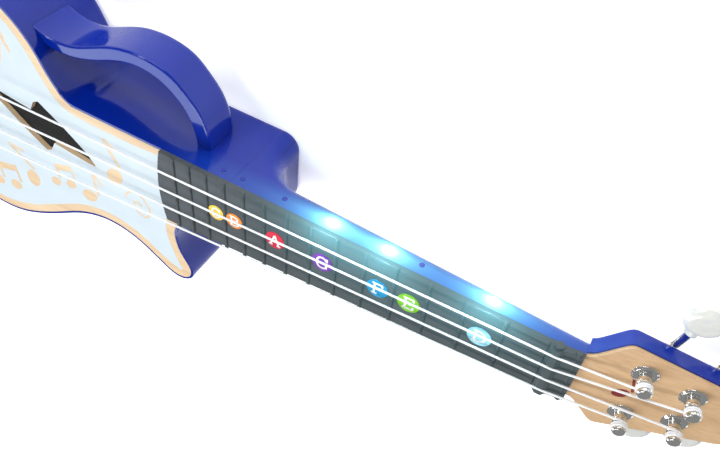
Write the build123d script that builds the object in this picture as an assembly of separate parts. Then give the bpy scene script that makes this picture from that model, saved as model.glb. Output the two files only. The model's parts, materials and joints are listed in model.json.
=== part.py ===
"""Toy electric ukulele-guitar: lies on its back, face up, head towards +X, bass side towards +Y.

Units are millimetres. The origin is under the middle of the bounding box, on the plane the back rests on.
"""
from build123d import *
from math import cos, pi, radians, sin
import os

# ---- driving dimensions -------------------------------------------------------------------------
SCALE = 380.0          # nut to saddle
NUT_X = 182.0          # string break at the board's end
BACK_T = 3.0           # thickness of the back wall
WALL = 2.6             # thickness of the side walls
RIM_Z = 53.0           # top of the blue rim, the soundboard and the neck channel
BOARD_T = 3.0          # fretboard
BOARD_Z = RIM_Z + BOARD_T
PLATE_T = 3.0          # soundboard
RIM_W = 1.5            # blue rim seen around the soundboard
FRETS = 14
HALF_NUT = 17.8        # half the board's width at the nut
TAPER = 0.0356         # growth of that half width per mm towards the body
GAP = 0.1              # gap between moulded parts

BOUT_X = NUT_X - 366.0
BOUT_R = 95.0
SPLIT_X = 5.0          # body shell in front of this, neck shell behind
HEEL_X = 17.0          # end of the heel
HEEL_BLEND = 20.0      # concave blend from heel to neck
NECK_BACK = 34.0       # underside of the neck at the heel
NECK_BACK_NUT = 40.0   # underside of the neck at the nut
EDGE_R = 11.0          # rounding along the neck's back and down the heel
BACK_R = 4.0           # rounding of the body's back edge
CHANNEL_FLOOR = 44.0   # floor of the hollow neck
PLATE_END = -22.0      # soundboard ends here, under the fretboard
BOARD_END = -38.0      # fretboard ends here

LOOP_BACK = 16.0       # height of the loop's back edge
LOOP_FRONT = 43.0      # height of its front edge in the middle; it falls towards the neck
LOOP_FALL = 3.2        # degrees
LOOP_MID = -71.0

HEAD_X = NUT_X + 16.0  # headstock face starts
HEAD_TILT = 10.0
HEAD_LEN = 83.0
VENEER_T = 2.0
HEAD_T = 12.0          # veneer and blue together
TUNER_AT = [(26.9, 16.5), (50.3, 10.8)]
SHAFT_SKEW = 13.9      # knob shafts stand square to the head's edges
POST_R = 3.0
POST_WAIST = 2.6
WORM_X = 7.6           # worm shaft, from the post's axis
WORM_Z = -15.9
PLATE_Z = -HEAD_T - 1.0
SCREW_Y = (-4.6, 6.6)  # screws of a tuner's base plate
GEAR_TEETH = 14

STRING_D = 1.2
NUT_SPREAD = 27.6
SADDLE_SPREAD = 45.5
NUT_CREST = 58.4
SADDLE_TOP = 63.7
SADDLE_X = NUT_X - SCALE
WRAP_R = POST_WAIST + STRING_D / 2 + 0.1
WRAP_Z = (7.1, 8.5)    # heights of the two turns round the post
WRAP_ARC = 325
NAMES = ["g", "c", "e", "a"]
NOTE_SPACE = {"d": 2, "e": 4, "f": 5, "g": 7, "a": 9, "b": 11, "c": 12}
NOTE_R = {"d": 6.3, "e": 6.2, "f": 6.0, "g": 6.0, "a": 5.7, "b": 5.2, "c": 5.0}
LED_Z = 47.2
LED_R = 1.5

HOLE_X = -126.4        # middle of the sound hole and of the speaker
CELL_X = -230.0        # middle of the battery bay
CELL_D = 14.5
CELL_L = 50.5
CELL_PITCH = 15.6
CELL_Z = 10.6
BAY = (60.0, 48.0)     # battery bay, inside
DOOR = (66.0, 54.0)
DOOR_Z = (0.3, 1.6)
DOOR_ROLL = (DOOR_Z[1] - DOOR_Z[0]) / 2
DOOR_AXIS_X = CELL_X - DOOR[0] / 2 + GAP + DOOR_ROLL
DOOR_SCREW_X = CELL_X + DOOR[0] / 2 - 1.5
PANEL_AT = (-230.0, -47.0)
PANEL = (50.0, 18.0)
SCREW_AT = [(-228, 66), (-228, -66), (-150, 68), (-150, -68), (-75, -42), (-42, -62)]

head_frame = Plane(
    origin=(HEAD_X, 0, RIM_Z),
    x_dir=(cos(radians(HEAD_TILT)), 0, -sin(radians(HEAD_TILT))),
    z_dir=(sin(radians(HEAD_TILT)), 0, cos(radians(HEAD_TILT))),
)
nodes = {}


# ---- helpers ------------------------------------------------------------------------------------
def half_width(x):
    """Half the width of the fretboard, and of the neck and heel under it."""
    return HALF_NUT + (NUT_X - x) * TAPER


def fret_x(n):
    """Place of fret n; fret 0 is the nut."""
    return NUT_X - SCALE * (1 - 2 ** (-n / 12))


def space_x(n):
    """Middle of the space behind fret n."""
    return (fret_x(n) + fret_x(n - 1)) / 2


def prism(face, low, high):
    """Extrude a face drawn at z = 0 from low to high."""
    return Pos(0, 0, low) * extrude(face, high - low)


def block(x, y, z):
    """Box from three (low, high) pairs."""
    middle = [(a + b) / 2 for a, b in (x, y, z)]
    return Pos(*middle) * Box(x[1] - x[0], y[1] - y[0], z[1] - z[0])


def drum(x, y, z, r):
    """Upright cylinder between two heights."""
    return Pos(x, y, (z[0] + z[1]) / 2) * Cylinder(r, z[1] - z[0])


def across(y, z, x, r):
    """Cylinder along Y between two places."""
    return Pos(x, (y[0] + y[1]) / 2, z) * Rot(90, 0, 0) * Cylinder(r, y[1] - y[0])


def turned(points):
    """Solid of revolution about Z from (radius, height) points."""
    outline = [(0, points[0][1])] + points + [(0, points[-1][1])]
    face = make_face(Plane.XZ * Polyline(*outline, close=True))
    return revolve(face, Axis.Z)


# ---- plan of the body ---------------------------------------------------------------------------
def inset_spline(curve, inward, inset, count=28):
    """Parallel copy of a spline, moved to the left (inward = 1) or right (-1) of its direction."""
    if inset == 0:
        return curve
    points = []
    for i in range(count + 1):
        along = curve % (i / count)
        points.append(curve @ (i / count) + Vector(-along.Y, along.X) * inward * inset)
    return Spline(*points, tangents=[curve % 0, curve % 1])


def body_plan(inset=0.0, end=SPLIT_X):
    """Outline of the body up to the heel split: lower bout, bass shoulder, treble horn."""
    bass_root = (-95.0, half_width(-95.0))
    treble_root = (-24.0, -half_width(-24.0))
    shoulder = Spline(
        (BOUT_X, BOUT_R), (-158, 87.5), (-134, 75.1), (-123.4, 65), (-116.7, 54.5), (-110.6, 41.6),
        (-104.8, 32.6), bass_root, tangents=[(1, 0), (1, -TAPER)],
    )
    horn = Spline(
        (BOUT_X, -BOUT_R), (-155, -87.8), (-131, -75), (-106, -61.4), (-86, -57.4), (-68, -61.4),
        (-50, -72.6), (-34.5, -78.6), (-25.6, -71.5), (-30.5, -56.5), (-34.6, -41), (-33, -30.5),
        treble_root, tangents=[(1, 0), (1, TAPER)],
    )
    shoulder = inset_spline(shoulder, -1, inset)
    horn = inset_spline(horn, 1, inset)
    bass_end = Vector(end, half_width(end) - inset)
    treble_end = Vector(end, inset - half_width(end))
    tail = ThreePointArc(shoulder @ 0, (BOUT_X - BOUT_R + inset, 0), horn @ 0)
    heel = [Line(shoulder @ 1, bass_end), Line(bass_end, treble_end), Line(treble_end, horn @ 1)]
    return make_face([shoulder, horn, tail] + heel)


def neck_block():
    """Neck and heel in one: a side profile cut to the board's taper."""
    blend_x = HEEL_X + HEEL_BLEND
    blend_z = NECK_BACK - HEEL_BLEND
    mid = HEEL_BLEND * (1 - cos(pi / 4))
    lines = [
        Line((-60, 0), (HEEL_X, 0)),
        Line((HEEL_X, 0), (HEEL_X, blend_z)),
        ThreePointArc((HEEL_X, blend_z), (HEEL_X + mid, NECK_BACK - mid), (blend_x, NECK_BACK)),
        Line((blend_x, NECK_BACK), (HEAD_X + 2, NECK_BACK_NUT)),
        Line((HEAD_X + 2, NECK_BACK_NUT), (HEAD_X + 2, RIM_Z)),
        Line((HEAD_X + 2, RIM_Z), (-60, RIM_Z)),
        Line((-60, RIM_Z), (-60, 0)),
    ]
    side = extrude(make_face([Plane.XZ * line for line in lines]), 40, both=True)
    plan = make_face(Polyline(
        (-60, half_width(-60)), (HEAD_X + 2, half_width(HEAD_X + 2)),
        (HEAD_X + 2, -half_width(HEAD_X + 2)), (-60, -half_width(-60)), close=True,
    ))
    return side & prism(plan, 0, RIM_Z)


# ---- blue shells --------------------------------------------------------------------------------
def outer_block():
    """Body, heel and neck as one rounded solid."""
    solid = prism(body_plan(), 0, RIM_Z) + neck_block()

    def on_neck_side(edge):
        c = edge.center()
        on_side = abs(abs(c.Y) - half_width(c.X)) < 0.3
        return on_side and HEEL_X - 0.5 < c.X < HEAD_X and c.Z < RIM_Z - 1

    chain = [e for e in solid.edges() if on_neck_side(e)]
    solid = fillet(chain, EDGE_R)
    bottom = [e for e in solid.edges() if abs(e.center().Z) < 0.01 and e.bounding_box().size.Z < 0.01]
    return fillet(bottom, BACK_R)


def screw_boss(x, y):
    """Post from the back wall up to the soundboard."""
    return drum(x, y, (1, RIM_Z - PLATE_T), 4.4)


def body_shell(outer):
    """Deep bowl with a ledge for the soundboard and a bay for the battery box."""
    shell = outer & block((-300, SPLIT_X), (-110, 110), (-1, RIM_Z + 1))
    narrow = half_width(SPLIT_X) - WALL
    shell -= prism(body_plan(RIM_W, PLATE_END), RIM_Z - PLATE_T, RIM_Z + 1)
    shell -= prism(body_plan(WALL + 1.6, SPLIT_X + 1), BACK_T, RIM_Z - PLATE_T + 1)
    shell -= prism(body_plan(WALL, SPLIT_X + 1), BACK_T, RIM_Z - PLATE_T - 4)
    shell -= block((PLATE_END, SPLIT_X + 1), (-narrow, narrow), (RIM_Z - 8, RIM_Z + 1))
    for x, y in SCREW_AT:
        shell += screw_boss(x, y)
        shell -= drum(x, y, (-1, 60), 1.7)
        shell -= drum(x, y, (-1, 38), 3.4)
    shell += drum(HOLE_X, 0, (BACK_T - 1, 20), 26) - drum(HOLE_X, 0, (BACK_T, 21), 24)
    shell -= block((CELL_X - DOOR[0] / 2 - 0.2, CELL_X + DOOR[0] / 2 + 0.2),
                   (-DOOR[1] / 2 - 0.2, DOOR[1] / 2 + 0.2), (-1, 1.7))
    shell -= block((CELL_X - BAY[0] / 2, CELL_X + BAY[0] / 2), (-BAY[1] / 2, BAY[1] / 2), (-1, BACK_T + 1))
    shell -= drum(DOOR_SCREW_X, 0, (-1, BACK_T + 1), 1.15)
    for name in NOTE_SPACE:
        shell -= led_hole(name)
    return shell


def led_hole(name):
    x = space_x(NOTE_SPACE[name])
    return across((half_width(x) - 8, half_width(x) + 3), LED_Z, x, LED_R)


def neck_shell(outer):
    """Hollow neck with the heel's end; the fretboard closes it."""
    shell = outer & block((SPLIT_X, HEAD_X), (-60, 60), (-1, RIM_Z + 1))
    inner = half_width(HEEL_X) - 3
    tip = half_width(HEAD_X) - 3
    shell -= block((SPLIT_X - 1, HEEL_X - 3), (-inner, inner), (BACK_T, RIM_Z + 1))
    end = HEAD_X - 24
    channel = make_face(Polyline((0, inner), (end, tip), (end, -tip), (0, -inner), close=True))
    shell -= prism(channel, CHANNEL_FLOOR, RIM_Z + 1)
    for name in NOTE_SPACE:
        shell -= led_hole(name)
    return shell


def horn_loop(outer):
    """Open carrying loop that stands for the bass horn; both roots meet the body's wall."""
    outside = Spline(
        (-140, 77.2), (-130, 70), (-121, 63.4), (-110, 60), (-99, 60.4), (-86, 64.6), (-73.7, 69),
        (-60.8, 70.8), (-48, 69.4), (-38, 65.4), (-29.6, 57.8), (-21.6, 47.6), (-17.2, 36), (-16.4, 20),
    )
    inside = Spline(
        (-122, 56.5), (-114, 54), (-105.8, 52.9), (-96.5, 53.4), (-82.7, 57), (-69, 61.6), (-57.3, 62.8),
        (-47.2, 60.4), (-37.4, 54), (-30.4, 45.4), (-26.3, 36), (-24.8, 20),
    )
    ends = [Line(outside @ 0, inside @ 0), Line(outside @ 1, inside @ 1)]
    face = make_face([outside, inside] + ends)
    above = Pos(LOOP_MID, 0, LOOP_FRONT) * Rot(0, LOOP_FALL, 0) * Pos(0, 0, 25) * Box(300, 300, 50)
    loop = prism(face, LOOP_BACK, LOOP_FRONT + 8) - above
    runs = [e for e in loop.edges() if e.length > 100]
    outer_back = [e for e in runs if e.center().Z < LOOP_BACK + 1 and e.length > 150]
    loop = fillet(outer_back, 5.0)
    front = [e for e in loop.edges() if e.length > 100 and e.center().Z > LOOP_FRONT - 6]
    loop = fillet(front, 1.2)
    return loop - outer


# ---- headstock ----------------------------------------------------------------------------------
def head_plan(inset=0.0):
    """Symmetric headstock outline: flares just past the nut and tapers to a rounded tip."""
    flare = Spline((0, 17.1), (5.6, 20.6), (12.2, 28.2), (19, 31.8), tangents=[(1, 0.1), (1, -0.247)])
    tip = Spline((70, 19.2), (79, 13.3), (HEAD_LEN, 0), tangents=[(1, -0.247), (0, -1)])
    flare = inset_spline(flare, -1, inset)
    tip = inset_spline(tip, -1, inset)
    half = [flare, Line(flare @ 1, tip @ 0), tip]
    other = [mirror(edge, Plane.XZ) for edge in half]
    start = flare @ 0
    return make_face(half + other + [Line(start, (start.X, -start.Y))])


def tuner_frames():
    """One frame per tuner: Z up through the post, Y along the knob shaft, plus the side of the worm."""
    frames = []
    for side in (1, -1):
        for u, v in TUNER_AT:
            turn = -SHAFT_SKEW if side > 0 else 180 + SHAFT_SKEW
            frames.append((head_frame.location * Location((u, side * v, 0), (0, 0, turn)), side))
    return [frames[0], frames[1], frames[3], frames[2]]


def headstock():
    face = head_plan()
    head = head_frame.location * prism(face, -HEAD_T, -VENEER_T)
    head = fillet([e for e in head.edges() if e.length > 12 and on_head_back(e)], 2.5)
    head -= block((HEAD_X - 9, HEAD_X), (-60, 60), (0, 90))
    for frame, side in tuner_frames():
        head -= frame * drum(0, 0, (-20, 5), 4.0)
        for y in SCREW_Y:
            head -= frame * drum(-3.4 * side, y, (-20, -6), 1.1)
    return head


def on_head_back(edge):
    local = head_frame.to_local_coords(edge.center())
    return abs(local.Z + HEAD_T) < 0.05 and local.X > 1


def veneer():
    sheet = head_frame.location * prism(head_plan(0.8), -VENEER_T, 0)
    sheet -= block((HEAD_X - 9, HEAD_X), (-60, 60), (0, 90))
    for frame, side in tuner_frames():
        sheet -= frame * drum(0, 0, (-20, 5), 4.0)
    return sheet


def tuner_base(side):
    """Base plate with two lugs that carry the worm shaft."""
    low, high = sorted((-5.6 * side, 11.4 * side))
    base = block((low, high), (-7.2, 9), (PLATE_Z, PLATE_Z + 1))
    for y in (-7.2, 5.2):
        base += block((side * WORM_X - 3, side * WORM_X + 3), (y, y + 1.4), (WORM_Z - 3, PLATE_Z + 0.5))
    base -= across((-9, 10), WORM_Z, side * WORM_X, 1.56)
    base -= drum(0, 0, (-20, 0), POST_R + 0.06)
    for y in SCREW_Y:
        base -= drum(-3.4 * side, y, (-20, 0), 1.1)
    return base


def tuner_bushing():
    washer = turned([(6.2, 0), (6.2, 0.5), (5.2, 1.2), (POST_R + 0.06, 1.2)])
    sleeve = drum(0, 0, (-HEAD_T, 0.2), 4.0)
    return washer + sleeve - drum(0, 0, (-20, 5), POST_R + 0.06)


def tuner_screws(side):
    pair = []
    for y in SCREW_Y:
        screw = drum(-3.4 * side, y, (PLATE_Z - 1, PLATE_Z), 1.9)
        screw += drum(-3.4 * side, y, (PLATE_Z - 0.5, -6), 1.1)
        pair.append(screw)
    return pair


def tuner_worm(side):
    """Worm, its shaft and the sleeve that carries the knob."""
    x = side * WORM_X
    worm = across((-7.4, 30), WORM_Z, x, 1.5) + across((10, 22), WORM_Z, x, 2.4)
    for turn in range(4):
        y = -3.6 + turn * 2.2
        worm += across((y, y + 1.1), WORM_Z, x, 2.2)
    return worm


def tuner_knob(side):
    pebble = extrude(Ellipse(10, 9), 4.4, both=True)
    pebble = fillet(pebble.edges(), 4.1)
    pebble = Pos(side * WORM_X, 31, WORM_Z) * pebble
    pebble += across((20.8, 24), WORM_Z, side * WORM_X, 3.4)
    pebble -= across((15, 30), WORM_Z, side * WORM_X, 1.5)
    return pebble - across((15, 22), WORM_Z, side * WORM_X, 2.4)


def tuner_post():
    """Post with a waist that takes the string."""
    return turned([
        (2.2, -18.2), (2.2, -13.2), (POST_R, -13.2), (POST_R, 4.6), (3.5, 5.2), (3.5, 5.9), (POST_WAIST, 6.4),
        (POST_WAIST, 9.2), (3.4, 9.8), (3.4, 11.0), (2.8, 11.6),
    ])


def tuner_gear():
    gear = drum(0, 0, (-17.4, -14.4), 4.3)
    for tooth in range(GEAR_TEETH):
        gear += Rot(0, 0, 360 * tooth / GEAR_TEETH) * block((3.5, 5.2), (-0.5, 0.5), (-17.4, -14.4))
    return gear - drum(0, 0, (-20, -10), 2.2)


# ---- soundboard, fretboard and strings ----------------------------------------------------------
def sound_hole():
    """Point-symmetric bolt shape."""
    half = [(37.5, -13.6), (31.2, -5), (16.6, 7.6), (1.4, 18.6), (-2.8, 16.4), (-6.4, 9.6), (-29, 13)]
    points = half + [(-x, -y) for x, y in half]
    face = make_face(Polyline(*points, close=True))
    return Pos(HOLE_X, 0) * fillet(face.vertices(), 1.0)


def soundboard():
    board = prism(body_plan(RIM_W + GAP, PLATE_END - GAP), RIM_Z - PLATE_T, RIM_Z)
    board -= prism(sound_hole(), 0, 60)
    board -= prism(Pos(*PANEL_AT) * RectangleRounded(PANEL[0] - 5, PANEL[1] - 4, 3), 0, 60)
    for x, y in SCREW_AT:
        board -= drum(x, y, (0, RIM_Z - 0.8), 1.5)
    return board


def fretboard():
    """Dark board with its frets moulded on."""
    w = half_width(BOARD_END)
    plan = make_face([
        Line((NUT_X, HALF_NUT), (BOARD_END, w)),
        ThreePointArc((BOARD_END, w), (BOARD_END - 2.9, 0), (BOARD_END, -w)),
        Line((BOARD_END, -w), (NUT_X, -HALF_NUT)),
        Line((NUT_X, -HALF_NUT), (NUT_X, HALF_NUT)),
    ])
    board = prism(plan, RIM_Z, BOARD_Z)
    top = [e for e in board.edges() if abs(e.center().Z - BOARD_Z) < 0.01 and e.length > 30]
    board = fillet(top, 0.5)
    for n in range(1, FRETS + 1):
        x = fret_x(n)
        w = half_width(x) + 0.25
        ridge = Pos(x, 0, BOARD_Z - 0.2) * Rot(90, 0, 0) * Cylinder(1.15, 2 * w)
        board += ridge & block((x - 2, x + 2), (-w, w), (BOARD_Z - 1.4, BOARD_Z + 2))
    return board


def nut_block():
    """Nut with the flat block behind it; its ends stand a little proud of the neck."""
    w = HALF_NUT + 0.1
    profile = make_face(Plane.XZ * Polyline(
        (NUT_X, RIM_Z), (NUT_X, BOARD_Z + 0.6), (NUT_X + 2.4, NUT_CREST + 0.6),
        (NUT_X + 5.4, NUT_CREST + 0.6),
        (NUT_X + 7.4, BOARD_Z + 0.9), (HEAD_X, BOARD_Z - 0.2), (HEAD_X, RIM_Z), close=True))
    nut = extrude(profile, w, both=True)
    nut += Pos(NUT_X + 4, 0, BOARD_Z - 0.6) * Rot(90, 0, 0) * Cylinder(2.4, 2 * w + 2.6)
    nut += Pos(HEAD_X - 2.6, 0, BOARD_Z - 1.2) * Rot(90, 0, 0) * Cylinder(1.6, 2 * w + 2.0)
    nut -= block((NUT_X - 9, HEAD_X + 9), (-60, 60), (0, RIM_Z))
    for k in range(4):
        y = string_y(k, NUT_SPREAD)
        nut -= block((NUT_X - 1, NUT_X + 9), (y - 0.75, y + 0.75), (NUT_CREST - 0.4, NUT_CREST + 3))
    return nut


def string_y(k, spread):
    """Place of string k across the neck; string 0 is on the bass side."""
    return spread / 2 - k * spread / 3


def string(k):
    """Whole string: tie block, saddle, nut, post, with two turns round the post's waist."""
    side = 1 if k < 2 else -1
    u, v = (TUNER_AT + TUNER_AT[::-1])[k]
    y1 = string_y(k, SADDLE_SPREAD)
    y2 = string_y(k, NUT_SPREAD)
    rise = STRING_D / 2
    points = [
        Vector(SADDLE_X - 11, y1, 59.4),
        Vector(SADDLE_X, y1, SADDLE_TOP + rise + 0.4),
        Vector(NUT_X + 4, y2, NUT_CREST + rise),
        head_frame.from_local_coords(Vector(u - 0.15, side * (v - WRAP_R), WRAP_Z[0])),
    ]
    path = FilletPolyline(*points, radius=[3.0, 4.0])
    start = points[1] - points[0]
    tube = sweep(Plane(origin=points[0], z_dir=start) * Circle(STRING_D / 2), path)
    first = -90 if side > 0 else 90 - WRAP_ARC
    turns = [tube]
    for z, arc in zip(WRAP_Z, (WRAP_ARC, 360)):
        ring = Torus(WRAP_R, STRING_D / 2, major_angle=arc)
        turns.append(head_frame.location * Location((u, side * v, z), (0, 0, first)) * ring)
    return turns


def bridge():
    """Glued bridge with a tie block, a slot for the saddle and four string holes."""
    base = prism(Pos(SADDLE_X - 6, 0) * RectangleRounded(30, 72, 6), RIM_Z, RIM_Z + 4)
    base += prism(Pos(SADDLE_X - 6, 0) * RectangleRounded(24, 62, 4), RIM_Z + 3, RIM_Z + 8)
    base = fillet([e for e in base.edges() if e.center().Z > RIM_Z + 7.9], 1.2)
    base -= block((SADDLE_X - 1.4, SADDLE_X + 1.4), (-27, 27), (RIM_Z + 4, 70))
    for k in range(4):
        y = string_y(k, SADDLE_SPREAD)
        base -= block((SADDLE_X - 12, SADDLE_X - 1), (y - 1, y + 1), (58.4, 70))
    return base


def saddle():
    bar = block((SADDLE_X - 1.4, SADDLE_X + 1.4), (-27, 27), (RIM_Z + 4, SADDLE_TOP))
    top = [e for e in bar.edges() if e.center().Z > SADDLE_TOP - 0.1 and e.length > 10]
    return fillet(top, 0.8)


# ---- electronics --------------------------------------------------------------------------------
def control_panel():
    """Oval plate let into the soundboard, with a slot and two button holes."""
    x, y = PANEL_AT
    panel = prism(Pos(x, y) * RectangleRounded(PANEL[0], PANEL[1], 7), RIM_Z, RIM_Z + 1.6)
    panel = fillet([e for e in panel.edges() if e.center().Z > RIM_Z + 1.5], 0.6)
    panel += prism(Pos(x, y) * RectangleRounded(PANEL[0] - 5.4, PANEL[1] - 4.4, 2.8), RIM_Z - 4, RIM_Z + 0.5)
    for bx in (x + 2, x + 15):
        panel -= drum(bx, y, (0, 70), 4.2)
    panel -= prism(Pos(x - 14, y) * RectangleRounded(11.4, 5.4, 0.6), 0, 70)
    for bx in (x - 20.2, x + 20.6):
        panel += drum(bx, y + 4, (40, RIM_Z - 3.9), 1.6)
        panel += drum(bx, y - 4, (40, RIM_Z - 3.9), 1.6)
    return panel


def push_button(offset_x):
    """Domed cap on a stem with a retaining flange under the panel."""
    x, y = PANEL_AT
    cap = turned([(3.9, 47.0), (3.9, 55.6), (3.0, 56.3), (1.2, 56.6)])
    flange = turned([(4.9, 45.6), (4.9, 46.9), (3.9, 47.1)])
    stem = drum(0, 0, (43.4, 46), 1.4)
    return Pos(x + offset_x, y, 0) * (cap + flange + stem)


def power_switch():
    x, y = PANEL_AT
    knob = block((x - 19, x - 13), (y - 2.4, y + 2.4), (46, 56.2))
    knob = fillet([e for e in knob.edges() if e.center().Z > 56.1], 0.8)
    return knob + block((x - 18, x - 14), (y - 1.2, y + 1.2), (43.6, 46.2))


def main_board():
    """Circuit board under the panel with its chip, two tact switches and the slide switch body."""
    x, y = PANEL_AT
    parts = block((x - 24, x + 24), (y - 9, y + 9), (38.4, 40))
    for bx in (x + 2, x + 15):
        parts += block((bx - 3, bx + 3), (y - 3, y + 3), (39.9, 41.6))
    parts += block((x - 18.4, x - 9.6), (y - 2.2, y + 2.2), (39.9, 43.4))
    parts += block((x - 8, x + 8), (y - 4, y + 4), (36.8, 38.5))
    return parts


def led_board():
    """Long narrow circuit board that lies in the neck and the heel."""
    return block((-12, 158), (-6, 9.5), (CHANNEL_FLOOR, CHANNEL_FLOOR + 1.2))


def led(name):
    """Light at the neck's bass side, level with its note."""
    x = space_x(NOTE_SPACE[name])
    tip = half_width(x)
    return across((9.5, tip + 0.15), LED_Z, x, LED_R)


def speaker():
    rim = drum(0, 0, (20, 21.6), 26) - drum(0, 0, (19, 23), 22.8)
    cup = loft([Pos(0, 0, 12) * Circle(15), Pos(0, 0, 20.4) * Circle(23.6)])
    cup -= loft([Pos(0, 0, 11.9) * Circle(13.8), Pos(0, 0, 20.5) * Circle(22.4)])
    return Pos(HOLE_X, 0) * (rim + cup)


def speaker_cone():
    cone = loft([Pos(0, 0, 13) * Circle(8), Pos(0, 0, 20.2) * Circle(21)])
    cone -= loft([Pos(0, 0, 13.8) * Circle(8), Pos(0, 0, 21.0) * Circle(21)])
    return Pos(HOLE_X, 0) * cone


def speaker_magnet():
    return Pos(HOLE_X, 0) * drum(0, 0, (4.5, 12), 13)


def battery_box():
    """Open tray over the bay; the cells load from the back."""
    w, h = BAY[0] / 2, BAY[1] / 2
    x = CELL_X
    box = block((x - w - 2, x + w + 2), (-h - 2, h + 2), (BACK_T, 21))
    box -= block((x - w, x + w), (-h, h), (0, 19))
    for y in (-8, 8):
        box += block((x - w - 1, x + w + 1), (y - 0.6, y + 0.6), (14, 19.5))
    return box


def batteries():
    cells = []
    for k in (-1, 0, 1):
        cell = across((-CELL_L / 2, CELL_L / 2 - 1.2), 0, 0, CELL_D / 2)
        cell += across((CELL_L / 2 - 1.3, CELL_L / 2), 0, 0, 2.6)
        cells.append(Pos(CELL_X, k * CELL_PITCH, CELL_Z) * Rot(0, 0, 90 if k else -90) * cell)
    return cells


def contacts():
    """Spring plates at both ends of the cells."""
    plates = []
    for side in (-1, 1):
        for k in (-1, 0, 1):
            x = CELL_X + side * (BAY[0] / 2 - 0.4)
            y = k * CELL_PITCH
            plate = block((x - 0.4, x + 0.4), (y - 5, y + 5), (4, 17))
            tip = Pos(x - side * 1.9, y, CELL_Z) * Rot(0, 90, 0) * Cylinder(2.6, 3.2)
            plates.append(plate + tip)
    return plates


def battery_door():
    """Flush door; it swings on the rolled edge nearest the tail, the screw is at the other."""
    door = prism(Pos(CELL_X, 0) * RectangleRounded(DOOR[0] - 2 * GAP, DOOR[1] - 2 * GAP, 1.2), *DOOR_Z)
    door -= block((DOOR_AXIS_X - 5, DOOR_AXIS_X), (-60, 60), (-1, 3))
    door += across((-DOOR[1] / 2 + 1, DOOR[1] / 2 - 1), DOOR_Z[0] + DOOR_ROLL, DOOR_AXIS_X, DOOR_ROLL)
    return door - drum(DOOR_SCREW_X, 0, (0, 3), 0.8)


def door_screw():
    return drum(DOOR_SCREW_X, 0, (0.1, 0.3), 1.4) + drum(DOOR_SCREW_X, 0, (0.2, 2.4), 0.8)


def body_screws():
    screws = []
    for x, y in SCREW_AT:
        screws.append(drum(x, y, (36, 38), 3.0) + drum(x, y, (37.9, RIM_Z - 1), 1.5))
    return screws


def wires():
    """Leads from the battery box and the speaker to the circuit board, and on to the neck."""
    x, y = PANEL_AT
    runs = [
        [(CELL_X + 34, 8, 16), (CELL_X + 44, -4, 20), (x + 30, y + 16, 30), (x + 18, y + 6, 37.4)],
        [(HOLE_X - 27, -4, 16), (HOLE_X - 42, -14, 22), (x + 44, y + 12, 32), (x + 22, y - 4, 37.4)],
        [(x + 26, y + 2, 39), (x + 70, y + 16, 40), (HOLE_X + 38, -20, 40), (-40, -8, 44), (-14, -2, 45)],
    ]
    leads = []
    for run in runs:
        path = FilletPolyline(*run, radius=8)
        first = Vector(*run[1]) - Vector(*run[0])
        leads.append(sweep(Plane(origin=run[0], z_dir=first) * Circle(0.8), path))
    return leads


# ---- assembly -----------------------------------------------------------------------------------
def save(name, shape):
    """Write one node; a list becomes a group of separate solids."""
    if isinstance(shape, (list, tuple)):
        solids = [s for item in shape for s in item.solids()]
        shape = Compound(children=solids)
    nodes[name] = shape
    export_step(shape, f"parts/{name}.step")


def main():
    os.makedirs("parts", exist_ok=True)
    outer = outer_block()
    board_base = RIM_Z - PLATE_T
    save("body_shell", body_shell(outer))
    save("neck_shell", neck_shell(outer))
    save("horn_loop", horn_loop(outer))
    save("headstock", headstock())
    save("headstock_veneer", veneer())
    save("soundboard", soundboard())
    board = fretboard()
    save("fretboard", board)
    save("nut", nut_block())
    screen = Pos(HOLE_X, 0) * RectangleRounded(84, 43, 8)
    save("sound_hole_screen", prism(screen, board_base - 1.2, board_base))
    for name in NOTE_SPACE:
        x = space_x(NOTE_SPACE[name])
        save(f"note_dot_{name}", drum(x, 0, (BOARD_Z, BOARD_Z + 0.3), NOTE_R[name]) - board)
    save("led_lights", [led(name) for name in NOTE_SPACE])
    save("led_board", led_board())
    save("bridge", bridge())
    save("saddle", saddle())
    for k, name in enumerate(NAMES):
        save(f"string_{name}", string(k))
        frame, side = tuner_frames()[k]
        save(f"tuner_post_{name}", frame * tuner_post())
        save(f"tuner_gear_{name}", frame * tuner_gear())
        save(f"tuner_worm_{name}", frame * tuner_worm(side))
        save(f"tuner_knob_{name}", frame * tuner_knob(side))
    frames = tuner_frames()
    save("tuner_bases", [frame * tuner_base(side) for frame, side in frames])
    save("tuner_bushings", [frame * tuner_bushing() for frame, side in frames])
    save("tuner_screws", [frame * screw for frame, side in frames for screw in tuner_screws(side)])
    save("control_panel", control_panel())
    save("song_button", push_button(2))
    save("mode_button", push_button(15))
    save("power_switch", power_switch())
    save("main_board", main_board())
    save("speaker_frame", speaker())
    save("speaker_cone", speaker_cone())
    save("speaker_magnet", speaker_magnet())
    save("battery_box", battery_box())
    save("batteries", batteries())
    save("battery_contacts", contacts())
    save("battery_door", battery_door())
    save("battery_door_screw", door_screw())
    save("body_screws", body_screws())
    save("wires", wires())


if __name__ == "__main__":
    main()
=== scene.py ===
"""Looks of the toy guitar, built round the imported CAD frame: metres, on its back, head to +X."""

import json
import math

import bpy
import bmesh
from mathutils import Matrix, Vector


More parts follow.
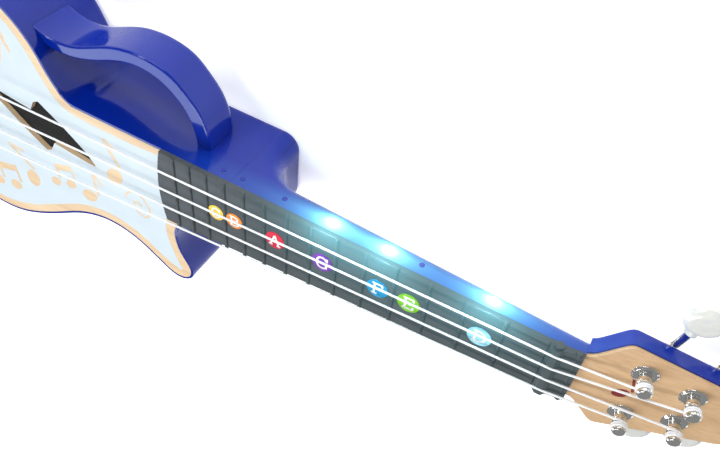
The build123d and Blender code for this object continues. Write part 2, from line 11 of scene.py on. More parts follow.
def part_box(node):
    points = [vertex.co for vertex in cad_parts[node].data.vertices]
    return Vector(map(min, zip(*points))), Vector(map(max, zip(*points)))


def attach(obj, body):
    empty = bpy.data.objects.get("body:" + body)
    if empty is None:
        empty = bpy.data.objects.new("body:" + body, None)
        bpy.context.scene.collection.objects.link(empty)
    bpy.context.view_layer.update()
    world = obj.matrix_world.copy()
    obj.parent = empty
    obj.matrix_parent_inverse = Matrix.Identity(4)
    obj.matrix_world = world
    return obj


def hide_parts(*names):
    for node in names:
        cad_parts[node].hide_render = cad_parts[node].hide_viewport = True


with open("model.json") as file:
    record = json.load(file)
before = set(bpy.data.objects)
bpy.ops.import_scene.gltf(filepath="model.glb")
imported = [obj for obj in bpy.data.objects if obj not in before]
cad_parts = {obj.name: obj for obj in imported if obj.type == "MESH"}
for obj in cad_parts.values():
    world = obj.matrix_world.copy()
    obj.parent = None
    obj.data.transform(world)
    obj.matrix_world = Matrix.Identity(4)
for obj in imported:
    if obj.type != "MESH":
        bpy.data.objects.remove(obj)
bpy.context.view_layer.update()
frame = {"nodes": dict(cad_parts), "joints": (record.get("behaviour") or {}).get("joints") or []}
MM = 0.001

# ---- driving values -----------------------------------------------------------------------------
SCALE = 380 * MM
NUT_X = 182 * MM
BOARD_Z = 56 * MM
RIM_Z = 53 * MM
HEAD_TILT = math.radians(10)
STRING_R = 0.6 * MM
WRAP_R = 3.3 * MM       # middle of the string round its post
WRAP_TURNS = 2.4
WRAP_START = 6.95 * MM  # height of the first turn above the head's face
WRAP_RISE = 1.24 * MM   # rise per turn
STRINGS = ["g", "c", "e", "a"]
NUT_SPREAD = 27.6 * MM
SADDLE_SPREAD = 45.5 * MM
NOTES = {"d": 2, "e": 4, "f": 5, "g": 7, "a": 9, "b": 11, "c": 12}
LIT = ("d", "f", "g")
HOLE_X = -126.4 * MM
LED_Z = 47.2 * MM
PRINT_MARGIN = -7.5 * MM
MOTIF_GROWTH = 1.35
MOTIF_GAP = 1.2 * MM
PANEL_AT = (-230, -47)


def fret_x(n):
    return NUT_X - SCALE * (1 - 2 ** (-n / 12))


def space_x(n):
    return (fret_x(n) + fret_x(n - 1)) / 2


def half_width(x):
    return 17.8 * MM + (NUT_X - x) * 0.0356


def led_place(note):
    x = space_x(NOTES[note])
    return Vector((x, half_width(x), LED_Z))


# ---- node helpers -------------------------------------------------------------------------------
class Shader:
    """A material with its Principled shader and short calls for adding nodes."""

    def __init__(self, name, color, rough, **sockets):
        self.mat = bpy.data.materials.new(name)
        self.mat.use_nodes = True
        self.tree = self.mat.node_tree
        self.bsdf = self.tree.nodes["Principled BSDF"]
        self.bsdf.inputs["Base Color"].default_value = (*color, 1)
        self.bsdf.inputs["Roughness"].default_value = rough
        for key, value in sockets.items():
            self.bsdf.inputs[key.replace("_", " ")].default_value = value
        self.coords = self.add("ShaderNodeTexCoord").outputs["Object"]

    def add(self, kind, **settings):
        node = self.tree.nodes.new(kind)
        for key, value in settings.items():
            setattr(node, key, value)
        return node

    def link(self, source, target):
        self.tree.links.new(source, target)

    def value(self, node, key, source):
        if hasattr(source, "is_output"):
            self.link(source, node.inputs[key])
        else:
            node.inputs[key].default_value = source

    def math(self, operation, a, b=0.0, clamp=False):
        node = self.add("ShaderNodeMath", operation=operation, use_clamp=clamp)
        self.value(node, 0, a)
        self.value(node, 1, b)
        return node.outputs[0]

    def stretched(self, scale):
        node = self.add("ShaderNodeMapping")
        self.link(self.coords, node.inputs["Vector"])
        node.inputs["Scale"].default_value = scale
        return node.outputs["Vector"]

    def noise(self, scale, detail=3.0, vector=None, distortion=0.0):
        node = self.add("ShaderNodeTexNoise")
        self.link(vector or self.coords, node.inputs["Vector"])
        node.inputs["Scale"].default_value = scale
        node.inputs["Detail"].default_value = detail
        node.inputs["Distortion"].default_value = distortion
        return node.outputs["Fac"]

    def ramp(self, fac, stops):
        node = self.add("ShaderNodeValToRGB")
        self.link(fac, node.inputs["Fac"])
        elements = node.color_ramp.elements
        while len(elements) < len(stops):
            elements.new(0.5)
        for element, (place, color) in zip(elements, stops):
            element.position = place
            element.color = (*color, 1)
        return node.outputs["Color"]

    def between(self, fac, low, high):
        node = self.add("ShaderNodeMapRange")
        self.link(fac, node.inputs["Value"])
        node.inputs["To Min"].default_value = low
        node.inputs["To Max"].default_value = high
        return node.outputs["Result"]

    def color(self, source):
        self.link(source, self.bsdf.inputs["Base Color"])

    def rough(self, source):
        self.link(source, self.bsdf.inputs["Roughness"])

    def bump(self, height, strength, distance, edge=0.0):
        node = self.add("ShaderNodeBump")
        node.inputs["Strength"].default_value = strength
        node.inputs["Distance"].default_value = distance
        self.link(height, node.inputs["Height"])
        if edge:
            bevel = self.add("ShaderNodeBevel", samples=4)
            bevel.inputs["Radius"].default_value = edge
            self.link(bevel.outputs["Normal"], node.inputs["Normal"])
        self.link(node.outputs["Normal"], self.bsdf.inputs["Normal"])

    def near(self, places, reach, peak, stretch=(1, 1, 1)):
        """Sum of soft falloffs around some points of the row frame."""
        total = None
        for place in places:
            offset = self.add("ShaderNodeVectorMath", operation="SUBTRACT")
            self.link(self.coords, offset.inputs[0])
            offset.inputs[1].default_value = place
            scaled = self.add("ShaderNodeVectorMath", operation="MULTIPLY")
            self.link(offset.outputs[0], scaled.inputs[0])
            scaled.inputs[1].default_value = [1 / (reach * s) for s in stretch]
            length = self.add("ShaderNodeVectorMath", operation="LENGTH")
            self.link(scaled.outputs[0], length.inputs[0])
            squared = self.math("POWER", length.outputs["Value"], 2.0)
            falloff = self.math("POWER", self.math("ADD", squared, 1.0), -1.6)
            part = self.math("MULTIPLY", falloff, peak)
            total = part if total is None else self.math("ADD", total, part)
        return total

    def glow(self, strength, color):
        self.bsdf.inputs["Emission Color"].default_value = (*color, 1)
        self.link(strength, self.bsdf.inputs["Emission Strength"])


# colour of the painted LED glow on the plastic round the lit LEDs
CYAN = (0.25, 0.85, 1.0)


def lit_places():
    return [led_place(note) for note in LIT]


# ---- materials ----------------------------------------------------------------------------------
def blue_gloss():
    s = Shader("blue_gloss", (0.002, 0.012, 0.20), 0.12, Coat_Weight=0.42, Coat_Roughness=0.025, IOR=1.5,
               Specular_IOR_Level=0.15)
    tone = s.noise(9.0, 3.0)
    s.color(s.ramp(tone, [(0.3, (0.001, 0.012, 0.22)), (0.7, (0.0015, 0.021, 0.30))]))
    s.rough(s.between(s.noise(240.0, 4.0), 0.09, 0.17))
    s.bump(s.noise(420.0, 2.0), 0.05, 0.0003, edge=0.0006)
    # painted glow: cyan LED light pooled on the blue plastic round each lit LED, emitted by the material
    # itself and kept to the part above 38 mm
    painted_led_glow_wide = s.near(lit_places(), 0.014, 1.0, (1.4, 0.8, 0.6))
    painted_led_glow_core = s.near(lit_places(), 0.0042, 7.0)
    height = s.add("ShaderNodeSeparateXYZ")
    s.link(s.coords, height.inputs[0])
    above = s.math("MULTIPLY", s.math("SUBTRACT", height.outputs["Z"], 0.038), 110.0, True)
    s.glow(s.math("MULTIPLY", s.math("ADD", painted_led_glow_wide, painted_led_glow_core), above), CYAN)
    return s.mat


def slate_plastic():
    s = Shader("slate_plastic", (0.035, 0.042, 0.045), 0.45, IOR=1.48)
    s.color(s.ramp(s.noise(60.0, 4.0), [(0.3, (0.030, 0.036, 0.040)), (0.7, (0.046, 0.054, 0.058))]))
    s.rough(s.between(s.noise(900.0, 3.0), 0.36, 0.5))
    s.bump(s.noise(2600.0, 2.0), 0.12, 0.0002, edge=0.0004)
    # painted glow: cyan LED light pooled on the fretboard beside each lit LED, emitted by the material itself
    places = [Vector((p.x, p.y, BOARD_Z)) for p in lit_places()]
    s.glow(s.near(places, 0.014, 0.42, (1.4, 1, 1)), CYAN)
    return s.mat


def wood(name, stops, line_scale, bump):
    """Straight-grained wood with the grain along X."""
    s = Shader(name, stops[0][1], 0.42, IOR=1.45, Coat_Weight=0.25, Coat_Roughness=0.3)
    fine = s.noise(line_scale, 6.0, s.stretched((0.06, 1.0, 1.0)), 0.4)
    broad = s.noise(line_scale * 0.16, 3.0, s.stretched((0.12, 1.0, 1.0)), 0.8)
    grain = s.math("ADD", s.math("MULTIPLY", fine, 0.6), s.math("MULTIPLY", broad, 0.4))
    s.color(s.ramp(grain, stops))
    s.rough(s.between(fine, 0.34, 0.52))
    s.bump(fine, bump, 0.0002, edge=0.0003)
    return s.mat


def plain(name, color, rough, speck=400.0, change=0.12, bump=0.05, edge=0.0003, **sockets):
    """Moulded or painted surface with slight changes of tone, gloss and height."""
    s = Shader(name, color, rough, **sockets)
    dark = tuple(c * (1 - change) for c in color)
    light = tuple(min(1.0, c * (1 + change)) for c in color)
    s.color(s.ramp(s.noise(speck * 0.2, 3.0), [(0.3, dark), (0.7, light)]))
    s.rough(s.between(s.noise(speck, 3.0), rough * 0.8, rough * 1.25))
    s.bump(s.noise(speck * 2.0, 2.0), bump, 0.0002, edge=edge)
    return s.mat


def led_glass():
    s = Shader("led_glass", (0.0012, 0.016, 0.26), 0.1, Coat_Weight=0.42, Specular_IOR_Level=0.15)
    s.rough(s.between(s.noise(900.0, 2.0), 0.06, 0.16))
    s.bump(s.noise(1500.0, 2.0), 0.05, 0.0001)
    s.glow(s.near(lit_places(), 0.003, 30.0), (0.8, 0.97, 1.0))
    return s.mat


def pearl():
    s = Shader("pearl", (0.74, 0.75, 0.71), 0.16, Coat_Weight=1.0, Coat_Roughness=0.04,
               Subsurface_Weight=0.25, Subsurface_Radius=(0.004, 0.004, 0.003))
    cloud = s.noise(70.0, 5.0, None, 1.6)
    s.color(s.ramp(cloud, [(0.25, (0.62, 0.64, 0.60)), (0.5, (0.76, 0.77, 0.73)), (0.75, (0.68, 0.71, 0.72))]))
    s.rough(s.between(cloud, 0.10, 0.24))
    s.bump(cloud, 0.04, 0.0004)
    return s.mat


PALE_GRAIN = [(0.3, (0.62, 0.42, 0.22)), (0.5, (0.74, 0.54, 0.32)), (0.72, (0.80, 0.62, 0.40))]
TAN_GRAIN = [(0.30, (0.50, 0.31, 0.16)), (0.5, (0.60, 0.39, 0.21)), (0.72, (0.66, 0.45, 0.26))]
DOT_COLORS = {
    "c": (0.93, 0.62, 0.01), "b": (0.93, 0.28, 0.01), "a": (0.72, 0.01, 0.045), "g": (0.20, 0.04, 0.42),
    "f": (0.01, 0.32, 0.60), "e": (0.22, 0.60, 0.02), "d": (0.32, 0.72, 0.86),
}

blue = blue_gloss()
slate = slate_plastic()
top_wood = wood("pale_wood", PALE_GRAIN, 260.0, 0.12)
head_wood = wood("tan_wood", TAN_GRAIN, 760.0, 0.12)
print_ink = plain("print_ink", (0.58, 0.67, 0.72), 0.4, 300.0, 0.03, 0.03, 0.0)
chrome = plain("chrome", (0.78, 0.78, 0.76), 0.07, 300.0, 0.04, 0.02, 0.0003, Metallic=1.0)
steel = plain("zinc_steel", (0.5, 0.5, 0.52), 0.3, 500.0, 0.1, 0.1, 0.0003, Metallic=1.0)
brass = plain("gear_brass", (0.62, 0.42, 0.14), 0.25, 500.0, 0.1, 0.1, 0.0002, Metallic=1.0)
nylon = plain("white_nylon", (0.84, 0.86, 0.88), 0.25, 900.0, 0.03, 0.02, 0.0, Coat_Weight=0.5)
ivory = plain("ivory", (0.82, 0.79, 0.68), 0.25, 300.0, 0.05, 0.03, 0.0003)
dark = plain("dark_satin", (0.022, 0.024, 0.026), 0.4, 600.0, 0.15, 0.12, 0.0004)
black = plain("black_cloth", (0.004, 0.004, 0.004), 0.9, 1400.0, 0.3, 0.5, 0.0)
board_green = plain("circuit_green", (0.01, 0.12, 0.05), 0.35, 500.0, 0.15, 0.1)
wire_red = plain("wire_red", (0.45, 0.02, 0.02), 0.4)
white_ink = plain("white_ink", (0.92, 0.92, 0.92), 0.4, 400.0, 0.02, 0.02, 0.0)
mark_red = plain("mark_red", (0.22, 0.014, 0.012), 0.45, 400.0, 0.08, 0.02, 0.0)
cell_skin = plain("cell_skin", (0.05, 0.05, 0.06), 0.3, 300.0, 0.1, 0.05, 0.0003, Metallic=0.4)
pearl_white = pearl()
led = led_glass()


def paint(material, *names):
    for name in names:
        mesh = frame["nodes"][name].data
        mesh.materials.clear()
        mesh.materials.append(material)


def paint_nodes():
    paint(blue, "body_shell", "neck_shell", "horn_loop", "headstock", "battery_door")
    paint(slate, "fretboard", "nut")
    paint(top_wood, "soundboard")
    paint(head_wood, "headstock_veneer")
    paint(black, "sound_hole_screen", "speaker_cone")
    paint(led, "led_lights")
    paint(board_green, "led_board", "main_board")
    paint(dark, "bridge", "control_panel", "battery_box")
    paint(ivory, "saddle")
    paint(chrome, "tuner_bases", "tuner_bushings", "tuner_screws")
    paint(steel, "speaker_frame", "speaker_magnet", "battery_contacts", "battery_door_screw", "body_screws")
    paint(cell_skin, "batteries")
    paint(wire_red, "wires")
    paint(plain("key_yellow", (0.85, 0.55, 0.01), 0.2, Coat_Weight=0.6), "song_button")
    paint(plain("key_red", (0.62, 0.01, 0.02), 0.2, Coat_Weight=0.6), "mode_button")
    paint(plain("key_white", (0.8, 0.8, 0.8), 0.2, Coat_Weight=0.6), "power_switch")
    for name in STRINGS:
        paint(chrome, f"tuner_post_{name}", f"tuner_worm_{name}")
        paint(brass, f"tuner_gear_{name}")
        paint(pearl_white, f"tuner_knob_{name}")
        paint(nylon, f"string_{name}")
    for note, color in DOT_COLORS.items():
        paint(plain(f"dot_{note}", color, 0.3, 300.0, 0.04, 0.03, 0.0002), f"note_dot_{note}")


# ---- flat shapes --------------------------------------------------------------------------------
def ring(cx, cy, rx, ry, turn=0.0, count=28):
    """Closed ellipse as points."""
    points = []
    for i in range(count):
        a = 2 * math.pi * i / count
        x, y = rx * math.cos(a), ry * math.sin(a)
        turned_x = x * math.cos(turn) - y * math.sin(turn)
        turned_y = x * math.sin(turn) + y * math.cos(turn)
        points.append((cx + turned_x, cy + turned_y))
    return points


def smooth(points, closed=False, steps=10):
    """Catmull-Rom curve through given points."""
    count = len(points)
    result = []
    spans = count if closed else count - 1
    for i in range(spans):
        def at(k):
            return Vector(points[k % count] if closed else points[max(0, min(count - 1, k))])
        a, b, c, d = at(i - 1), at(i), at(i + 1), at(i + 2)
        for j in range(steps):
            t = j / steps
            result.append(0.5 * (2 * b + (c - a) * t + (2 * a - 5 * b + 4 * c - d) * t ** 2
                                 + (3 * b - a - 3 * c + d) * t ** 3))
    if not closed:
        result.append(Vector(points[-1]))
    return result


def band(points, width):
    """Outline of a pen stroke of even width along a path."""
    left, right = [], []
    count = len(points)
    for i, p in enumerate(points):
        ahead = Vector(points[min(i + 1, count - 1)]) - Vector(points[max(i - 1, 0)])
        side = Vector((-ahead.y, ahead.x)).normalized() * width / 2
        left.append(tuple(Vector(p) + side))
        right.append(tuple(Vector(p) - side))
    return left + right[::-1]


def inset(points, distance):
    """Closed outline moved inwards; the outline runs anticlockwise."""
    moved = []
    count = len(points)
    for i, p in enumerate(points):
        ahead = Vector(points[(i + 1) % count]) - Vector(points[i - 1])
        moved.append(Vector(p) + Vector((-ahead.y, ahead.x)).normalized() * distance)
    return moved


def dense(outline):
    """Points along a closed outline, close together."""
    points = []
    for a, b in zip(outline, outline[1:] + outline[:1]):
        a, b = Vector(a), Vector(b)
        count = max(1, int((b - a).length / MOTIF_GAP))
        points += [a.lerp(b, i / count) for i in range(count)]
    return points


def inside(point, outline):
    """Whether a point lies within a closed outline."""
    x, y = point
    within = False
    for a, b in zip(outline, outline[1:] + outline[:1]):
        if (a[1] > y) != (b[1] > y) and x < a[0] + (y - a[1]) * (b[0] - a[0]) / (b[1] - a[1]):
            within = not within
    return within


def flat_piece(name, loops, height, thick, material, place=None, body="guitar"):
    """Thin filled sheet; loops inside the first one are holes."""
    curve = bpy.data.curves.new(name, "CURVE")
    curve.dimensions = "2D"
    curve.fill_mode = "BOTH"
    curve.extrude = thick / 2
    for loop in loops:
        spline = curve.splines.new("POLY")
        spline.points.add(len(loop) - 1)
        for point, p in zip(spline.points, loop):
            point.co = (p[0], p[1], 0, 1)
        spline.use_cyclic_u = True
    holder = bpy.data.objects.new(name + "_draft", curve)
    bpy.context.scene.collection.objects.link(holder)
    bpy.context.view_layer.update()
    mesh = bpy.data.meshes.new_from_object(holder)
    bpy.data.objects.remove(holder)
    matrix = place or Matrix.Identity(4)
    mesh.transform(matrix @ Matrix.Translation((0, 0, height + thick / 2)))
    mesh.materials.clear()
    mesh.materials.append(material)
    piece = bpy.data.objects.new(name, mesh)
    bpy.context.scene.collection.objects.link(piece)
    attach(piece, body)
    return piece


def scaled(loop, unit=MM):
    return [(p[0] * unit, p[1] * unit) for p in loop]


# ---- soundboard print ---------------------------------------------------------------------------
BODY_OUTLINE = [
    (-95, 27.8), (-60, 26.4), (-24, 25.2), (-24, 0), (-24, -25.3), (-33, -30.5), (-34.6, -41), (-30.5, -56.5),
    (-25.6, -71.5), (-34.5, -78.6), (-50, -72.6), (-68, -61.4), (-86, -57.4), (-106, -61.4), (-131, -75),
    (-155, -87.8), (-184, -95), (-220, -88), (-251, -67), (-272, -36), (-279, 0), (-272, 36), (-251, 67),
    (-220, 88), (-184, 95), (-158, 87.5), (-134, 75.1), (-123.4, 65), (-116.7, 54.5), (-110.6, 41.6),
    (-104.8, 32.6),
]
SOUND_HOLE = [(37.5, -13.6), (31.2, -5), (16.6, 7.6), (1.4, 18.6), (-2.8, 16.4), (-6.4, 9.6), (-29, 13)]


def note_motif(x, y, size, turn):
    """Oval note head with a stem and a flag, as two outlines."""
    head = ring(x, y, 3.6 * size, 2.6 * size, turn + 0.4)
    lean = Matrix.Rotation(turn, 2)

    def at(px, py):
        return tuple(Vector((x, y)) + lean @ Vector((px * size, py * size)))
    stem = band(smooth([at(4.4, 1.6), at(4.5, 7), at(4.6, 12), at(6.2, 9.6), at(8, 7.6)]), 1.1 * size)
    return [head, stem]


def pair_motif(x, y, size, turn):
    """Two heads joined by a beam."""
    lean = Matrix.Rotation(turn, 2)

    def at(px, py):
        return tuple(Vector((x, y)) + lean @ Vector((px * size, py * size)))
    left, right = at(-5, -5), at(5, -4)
    beam = [at(-1.6, -2.6), at(-1.6, 6), at(9.4, 7.4), at(9.4, -1.4), at(8.2, -1.4), at(8.2, 4), at(-0.4, 2.6),
            at(-0.4, -2.6)]
    heads = [ring(*place, 3.2 * size, 2.4 * size, turn + 0.4) for place in (left, right)]
    return heads + [beam]


def curl_motif(x, y, size, turn):
    """Open curl, like a simple clef."""
    lean = Matrix.Rotation(turn, 2)
    path = []
    for i in range(34):
        a = i * 0.27
        r = (1.2 + i * 0.24) * size
        path.append(tuple(Vector((x, y)) + lean @ Vector((r * math.cos(a) * 0.8, r * math.sin(a)))))
    return [band(path, 1.0 * size)]




# drawing function, then (x, y, size, turn) of each motif in millimetres and radians
MOTIFS = [
    (note_motif, [
        (-76, -14, 1.5, 0.5), (-158, 36, 1.6, -0.3), (-148, -52, 1.5, 0.9), (-60, 12, 1.0, 0.2),
        (-222, 52, 1.5, 0.4), (-176, -22, 1.3, 2.2), (-44, -54, 1.2, 0.7), (-100, -42, 1.3, 0.1),
    ]),
    (pair_motif, [
        (-122, -36, 1.0, 0.2), (-176, 62, 1.2, -0.5), (-250, 6, 1.2, 0.6), (-166, 12, 1.0, 0.3),
        (-176, -62, 1.2, 0.1),
    ]),
    (curl_motif, [
        (-60, -30, 1.0, 0.3), (-92, 14, 0.9, 1.2), (-240, 44, 1.1, 2.0), (-134, 54, 1.0, 0.6),
        (-150, -26, 0.9, 1.8),
    ]),
]


def soundboard_print():
    outline = inset(smooth([(x * MM, y * MM) for x, y in BODY_OUTLINE], True, 6), PRINT_MARGIN)
    hole = SOUND_HOLE + [(-x, -y) for x, y in SOUND_HOLE]
    centre = [(x * MM + HOLE_X, y * MM) for x, y in hole]
    motifs = []
    for draw, places in MOTIFS:
        for x, y, size, turn in places:
            motifs.append(draw(x, y, size * MOTIF_GROWTH, turn))
    loops = [outline, centre]
    taken = dense(outline) + dense(centre)
    for motif in motifs:
        drawn = [scaled(loop) for loop in motif]
        points = [Vector(p) for loop in drawn for p in loop]
        within = all(inside(p, outline) and not inside(p, centre) for p in points)
        if within and min((p - q).length for p in points for q in taken) > MOTIF_GAP:
            loops += drawn
            taken += [p for loop in drawn for p in dense(loop)]
    return flat_piece("soundboard_print", loops, RIM_Z + 0.02 * MM, 0.05 * MM, print_ink)


# ---- letters on the note dots -------------------------------------------------------------------
LETTERS = {
    "c": [[(0.34, 0.24), (0.1, 0.46), (-0.22, 0.4), (-0.38, 0), (-0.22, -0.4), (0.1, -0.46), (0.36, -0.26)],
          [(0.34, 0.5), (0.34, 0.16)]],
    "b": [[(-0.24, -0.46), (-0.24, 0.46)], [(-0.38, 0.44), (0.12, 0.44)], [(-0.38, -0.44), (0.14, -0.44)],
          [(0.06, 0.44), (0.28, 0.34), (0.28, 0.12), (0.04, 0.02)], [(-0.24, 0.02), (0.08, 0.02)],
          [(0.04, 0.02), (0.34, -0.08), (0.34, -0.34), (0.08, -0.44)]],
    "a": [[(-0.32, -0.44), (0.0, 0.46)], [(0.0, 0.46), (0.32, -0.44)], [(-0.2, -0.12), (0.2, -0.12)],
          [(-0.46, -0.44), (-0.16, -0.44)], [(0.16, -0.44), (0.46, -0.44)]],
    "g": [[(0.34, 0.24), (0.1, 0.46), (-0.22, 0.4), (-0.38, 0), (-0.22, -0.4), (0.1, -0.46), (0.32, -0.32)],
          [(0.34, 0.5), (0.34, 0.18)], [(0.32, -0.46), (0.32, -0.04)], [(0.1, -0.02), (0.46, -0.02)]],
    "f": [[(-0.2, -0.44), (-0.2, 0.44)], [(-0.36, 0.44), (0.34, 0.44)], [(0.32, 0.46), (0.32, 0.22)],
          [(-0.2, 0.02), (0.16, 0.02)], [(0.14, 0.14), (0.14, -0.1)], [(-0.36, -0.44), (0.02, -0.44)]],
    "e": [[(-0.2, -0.44), (-0.2, 0.44)], [(-0.36, 0.44), (0.32, 0.44)], [(0.3, 0.46), (0.3, 0.24)],
          [(-0.2, 0.02), (0.14, 0.02)], [(0.12, 0.14), (0.12, -0.1)], [(-0.36, -0.44), (0.34, -0.44)],
          [(0.32, -0.46), (0.32, -0.22)]],
    "d": [[(-0.24, -0.46), (-0.24, 0.46)], [(-0.38, 0.44), (0.06, 0.44)], [(-0.38, -0.44), (0.06, -0.44)],
          [(0.0, 0.44), (0.28, 0.3), (0.36, 0.0), (0.28, -0.3), (0.0, -0.44)]],
}


def note_letter(note):
    """White slab letter on its dot, each stroke a hair above the last."""
    low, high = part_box(f"note_dot_{note}")
    centre = Vector((space_x(NOTES[note]), 0))
    size = (high[1] - low[1]) * 0.68
    mesh = bmesh.new()
    for k, stroke in enumerate(LETTERS[note]):
        path = smooth(stroke, False, 6) if len(stroke) > 2 else [Vector(p) for p in stroke]
        loop = band(path, 0.15)
        half = len(loop) // 2
        z = high[2] + (0.03 + 0.012 * k) * MM
        verts = [mesh.verts.new((centre.x + p[0] * size, centre.y + p[1] * size, z)) for p in loop]
        for i in range(half - 1):
            mesh.faces.new((verts[i + 1], verts[i], verts[-1 - i], verts[-2 - i]))
    bmesh.ops.recalc_face_normals(mesh, faces=mesh.faces)
    for face in mesh.faces:
        if face.normal.z < 0:
            face.normal_flip()
    data = bpy.data.meshes.new(f"letter_{note}")
    mesh.to_mesh(data)
    data.materials.append(white_ink)
    piece = bpy.data.objects.new(f"letter_{note}", data)
    bpy.context.scene.collection.objects.link(piece)
    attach(piece, "guitar")


# ---- headstock mark -----------------------------------------------------------------------------
def head_matrix():
    turn = Matrix.Rotation(HEAD_TILT, 4, "Y")
    return Matrix.Translation((NUT_X + 16 * MM, 0, RIM_Z)) @ turn


def headstock_mark():
    """A plain eighth note in dark red."""
    loops = note_motif(22, -2.0, 1.15, 0.25)
    for k, loop in enumerate(loops):
        flat_piece(f"head_mark_{k}", [scaled(loop)], 0.02 * MM, 0.05 * MM, mark_red, head_matrix())


# ---- small prints -------------------------------------------------------------------------------
def panel_icons():
    """Pictures beside the two keys and the switch."""
    x, y = PANEL_AT
    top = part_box("control_panel")[1][2]
    icons = {
        "song": pair_motif(x + 1.6, y + 6, 0.2, 0.0),
        "mode": note_motif(x + 14.2, y + 5.6, 0.26, 0.0),
        "on": [band([(x - 11.4, y - 5.6), (x - 11.4, y - 3.8)], 0.5)],
        "off": [ring(x - 17.6, y - 5.0, 0.9, 0.9)],
    }
    for name, loops in icons.items():
        for k, loop in enumerate(loops):
            flat_piece(f"icon_{name}_{k}", [scaled(loop)], top + 0.01 * MM, 0.03 * MM, white_ink)


def frame_loops(x, y, width):
    """Rectangle between two corners with a smaller one inside it."""
    loops = []
    for d in (0, width):
        loops.append([(x[0] + d, y[0] + d), (x[1] - d, y[0] + d), (x[1] - d, y[1] - d), (x[0] + d, y[1] - d)])
    return loops


def door_marks():
    """Moulded opening arrow and cell outlines on the battery door."""
    low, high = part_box("battery_door")
    mid = (low[0] + high[0]) / 2 / MM
    under = low[2] - 0.12 * MM
    marks = [[[(mid + 14, -3), (mid + 19, 0), (mid + 14, 3)]]]
    for y in (-12, 0, 12):
        marks.append(frame_loops((mid - 22, mid + 6), (y - 3.4, y + 3.4), 0.6))
        marks.append([[(mid + 6.6, y - 1.2), (mid + 8, y - 1.2), (mid + 8, y + 1.2), (mid + 6.6, y + 1.2)]])
    for k, loops in enumerate(marks):
        loops = [scaled(loop) for loop in loops]
        flat_piece(f"door_mark_{k}", loops, under, 0.08 * MM, dark, body="door")


# ---- strings ------------------------------------------------------------------------------------
def string_piece(k, name):
    """Nylon string from the tie block over saddle and nut to its turns on the post."""
    joint = next(j for j in frame["joints"] if j["name"] == f"post_{name}_turn")
    origin, axis = Vector(joint["pos_m"]), Vector(joint["axis"]).normalized()
    along = Vector((math.cos(HEAD_TILT), 0, -math.sin(HEAD_TILT)))
    side = 1 if k < 2 else -1
    across = Vector((0, 1, 0))
    y1 = SADDLE_SPREAD / 2 - k * SADDLE_SPREAD / 3
    y2 = NUT_SPREAD / 2 - k * NUT_SPREAD / 3
    low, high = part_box("saddle")
    saddle_x, saddle_z = (low[0] + high[0]) / 2, high[2]
    nut_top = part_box("nut")[1][2]
    points = [
        Vector((saddle_x - 10.6 * MM, y1, 59.6 * MM)),
        Vector((saddle_x - 1.4 * MM, y1, saddle_z + 0.45 * MM)),
        Vector((saddle_x, y1, saddle_z + 0.9 * MM)),
        Vector((saddle_x + 1.6 * MM, y1, saddle_z + 0.85 * MM)),
        Vector((NUT_X + 3 * MM, y2, nut_top)),
        Vector((NUT_X + 5 * MM, y2, nut_top - 0.05 * MM)),
    ]
    steps = int(WRAP_TURNS * 28)
    for i in range(steps + 1):
        a = 2 * math.pi * WRAP_TURNS * i / steps
        height = WRAP_START + WRAP_RISE * a / (2 * math.pi)
        out = -across * side * math.cos(a) + along * math.sin(a)
        points.append(origin + axis * height + out * WRAP_R)
    curve = bpy.data.curves.new(f"string_line_{name}", "CURVE")
    curve.dimensions = "3D"
    curve.bevel_depth = STRING_R
    curve.bevel_resolution = 4
    curve.use_fill_caps = True
    spline = curve.splines.new("POLY")
    spline.points.add(len(points) - 1)
    for point, p in zip(spline.points, points):
        point.co = (*p, 1)
    spline.use_smooth = True
    curve.materials.append(nylon)
    piece = bpy.data.objects.new(f"string_line_{name}", curve)
    bpy.context.scene.collection.objects.link(piece)
    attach(piece, "guitar")
    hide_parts(f"string_{name}")


# ---- stage --------------------------------------------------------------------------------------
def floor():
    bpy.ops.mesh.primitive_plane_add(size=12, location=(0, 0, -0.0002))
    plane = bpy.context.object
    plane.name = "floor"
    s = Shader("floor_white", (0.9, 0.9, 0.9), 0.9)
    s.color(s.ramp(s.noise(3.0), [(0.4, (0.9, 0.9, 0.9)), (0.6, (0.92, 0.92, 0.92))]))
    s.bsdf.inputs["Emission Color"].default_value = (1, 1, 1, 1)
    s.bsdf.inputs["Emission Strength"].default_value = 0.5
    plane.data.materials.append(s.mat)


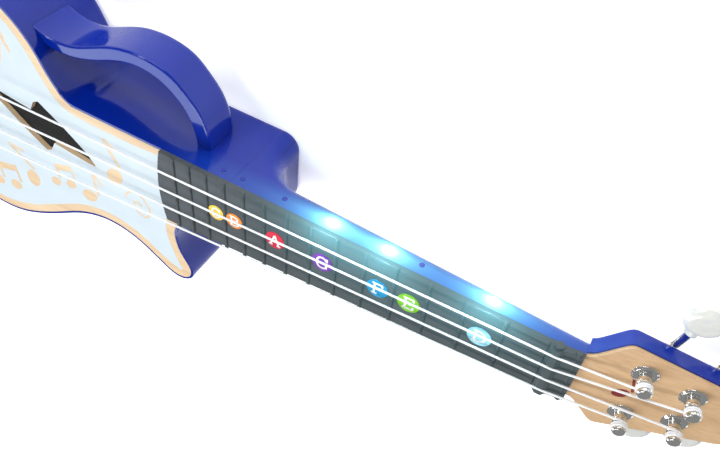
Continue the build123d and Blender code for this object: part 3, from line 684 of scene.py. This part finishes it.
def area(name, place, target, size, power, color=(1, 1, 1)):
    light = bpy.data.lights.new(name, "AREA")
    light.shape = "RECTANGLE"
    light.size, light.size_y = size
    light.energy = power
    light.color = color
    holder = bpy.data.objects.new(name, light)
    holder.location = place
    holder.rotation_euler = (Vector(target) - Vector(place)).to_track_quat("-Z", "Y").to_euler()
    bpy.context.scene.collection.objects.link(holder)


def lights():
    world = bpy.data.worlds.new("studio")
    world.use_nodes = True
    world.node_tree.nodes["Background"].inputs["Color"].default_value = (1, 1, 1, 1)
    world.node_tree.nodes["Background"].inputs["Strength"].default_value = 0.28
    bpy.context.scene.world = world
    area("key", (0.1, -0.5, 1.3), (0, 0, 0), (1.0, 0.6), 14)
    area("bass_side", (-0.2, 1.3, 0.5), (0, 0, 0), (0.9, 0.5), 10)
    area("strip", (-0.5, 0.7, 0.9), (-0.05, 0.05, 0.05), (0.25, 0.12), 3)
    area("far_box", (-0.72, -0.62, 0.8), (-0.07, 0.06, 0.05), (0.6, 0.4), 3, (0.75, 0.85, 1.0))
    for note in LIT:
        p = led_place(note)
        glow = bpy.data.lights.new(f"led_glow_{note}", "POINT")
        glow.energy = 0.03
        glow.color = (0.5, 0.92, 1.0)
        glow.shadow_soft_size = 0.003
        holder = bpy.data.objects.new(f"led_glow_{note}", glow)
        holder.location = (p.x, p.y + 0.008, BOARD_Z + 0.006)
        bpy.context.scene.collection.objects.link(holder)


def camera():
    """Above the bass side, looking down at the face with the neck running away to the lower right."""
    lens = bpy.data.cameras.new("camera")
    lens.lens = 37.83
    lens.sensor_width = 36
    holder = bpy.data.objects.new("camera", lens)
    right = Vector((0.87945, 0.09081, -0.46725))
    up = Vector((-0.39493, 0.68717, -0.60978))
    back = right.cross(up)
    holder.matrix_world = Matrix((
        (right.x, up.x, back.x, 0.1759), (right.y, up.y, back.y, 0.2946), (right.z, up.z, back.z, 0.2839),
        (0, 0, 0, 1)))
    bpy.context.scene.collection.objects.link(holder)
    bpy.context.scene.camera = holder


bpy.context.scene.view_settings.view_transform = "Standard"
paint_nodes()
soundboard_print()
for note_name in NOTES:
    note_letter(note_name)
headstock_mark()
panel_icons()
door_marks()
for index, string_name in enumerate(STRINGS):
    string_piece(index, string_name)
floor()
lights()
camera()
